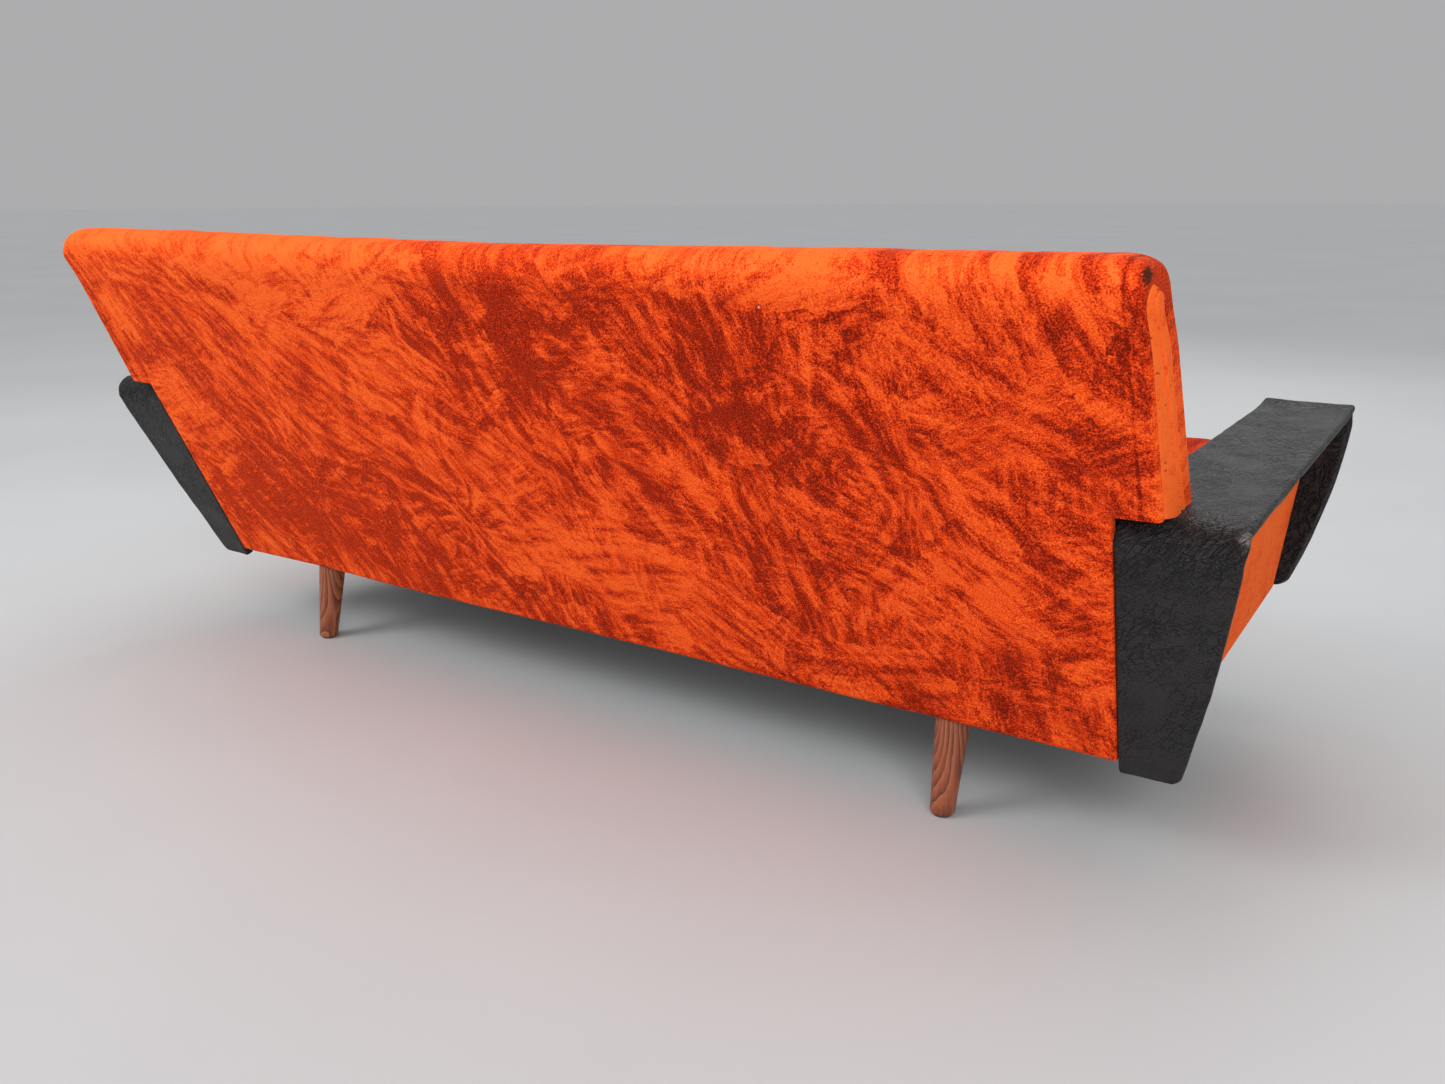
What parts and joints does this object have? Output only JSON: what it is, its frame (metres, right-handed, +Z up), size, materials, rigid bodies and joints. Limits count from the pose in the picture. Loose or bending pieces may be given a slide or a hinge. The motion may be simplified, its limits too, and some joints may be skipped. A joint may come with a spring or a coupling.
{
  "type": "three-seat sofa with wooden legs",
  "caption": "Three-seat mid-century sofa in burnt-orange crushed velvet: raked box seat, leaning back, black leatherette winged arms and splayed tapered wooden legs.",
  "frame": {"origin": "on the floor, under the centre of the whole sofa's bounding box", "axes": "+X towards the sitter's left, along the seat; -Y is the way a sitter faces; +Z up"},
  "size_m": [2.039, 0.9077, 0.76],
  "materials": {
    "velvet": "burnt-orange crushed velvet, streaky pile",
    "leatherette": "black leatherette, fine wrinkle grain, semi-gloss",
    "leg_wood": "red-brown walnut, satin lacquer",
    "frame_wood": "bare softwood",
    "plywood": "bare plywood",
    "hardboard": "bare hardboard",
    "foam": "open-cell foam, matt",
    "webbing": "rubberised webbing, ribbed",
    "deck_cloth": "dark twill",
    "dust_cloth": "black non-woven cloth",
    "steel": "zinc-plated",
    "glide_plastic": "matt nylon",
    "zip": "matt nylon coil on orange tape"
  },
  "bodies": {
    "sofa": {"arm_board_left": "plywood", "arm_board_right": "plywood", "arm_cover_left": "leatherette", "arm_cover_right": "leatherette", "arm_lining_left": "velvet", "arm_lining_right": "velvet", "arm_pad_left": "foam", "arm_pad_right": "foam", "arm_sill_left": "frame_wood", "arm_sill_right": "frame_wood", "arm_wall_left": "plywood", "arm_wall_right": "plywood", "back_bottom_rail": "frame_wood", "back_lower_rail": "frame_wood", "back_posts": "frame_wood", "back_top_pad": "foam", "back_top_rail": "frame_wood", "back_waist_rail": "frame_wood", "back_webbing": "webbing", "corner_blocks": "frame_wood", "cross_rails": "frame_wood", "deck_cloth": "deck_cloth", "dust_cover": "dust_cloth", "dust_cover_staples": "steel", "ear_posts": "frame_wood", "end_boxing_left": "velvet", "end_boxing_right": "velvet", "frame_screws": "steel", "front_border": "velvet", "front_rail": "frame_wood", "front_wing_board_left": "plywood", "front_wing_board_right": "plywood", "inside_back_cover": "velvet", "inside_back_foam": "foam", "leg_bolts": "steel", "leg_front_left": "leg_wood", "leg_front_right": "leg_wood", "leg_glides": "glide_plastic", "leg_rear_left": "leg_wood", "leg_rear_right": "leg_wood", "outside_back_board": "hardboard", "outside_back_cover": "velvet", "rear_wing_board_left": "plywood", "rear_wing_board_right": "plywood", "seat_webbing": "webbing", "side_panel_left": "velvet", "side_panel_right": "velvet", "side_rails": "frame_wood", "side_wall_left": "plywood", "side_wall_right": "plywood"},
    "cushion_left": {"cushion_cover_left": "velvet", "cushion_foam_left": "foam", "cushion_zip_left": "zip"},
    "cushion_middle": {"cushion_cover_middle": "velvet", "cushion_foam_middle": "foam", "cushion_zip_middle": "zip"},
    "cushion_right": {"cushion_cover_right": "velvet", "cushion_foam_right": "foam", "cushion_zip_right": "zip"}
  },
  "joints": [
    {"name": "cushion_left_lift", "type": "slide", "parent": "sofa", "child": "cushion_left", "axis": [0, 0, 1], "range_m": [0, 0.3]},
    {"name": "cushion_middle_lift", "type": "slide", "parent": "sofa", "child": "cushion_middle", "axis": [0, 0, 1], "range_m": [0, 0.3]},
    {"name": "cushion_right_lift", "type": "slide", "parent": "sofa", "child": "cushion_right", "axis": [0, 0, 1], "range_m": [0, 0.3]}
  ]
}
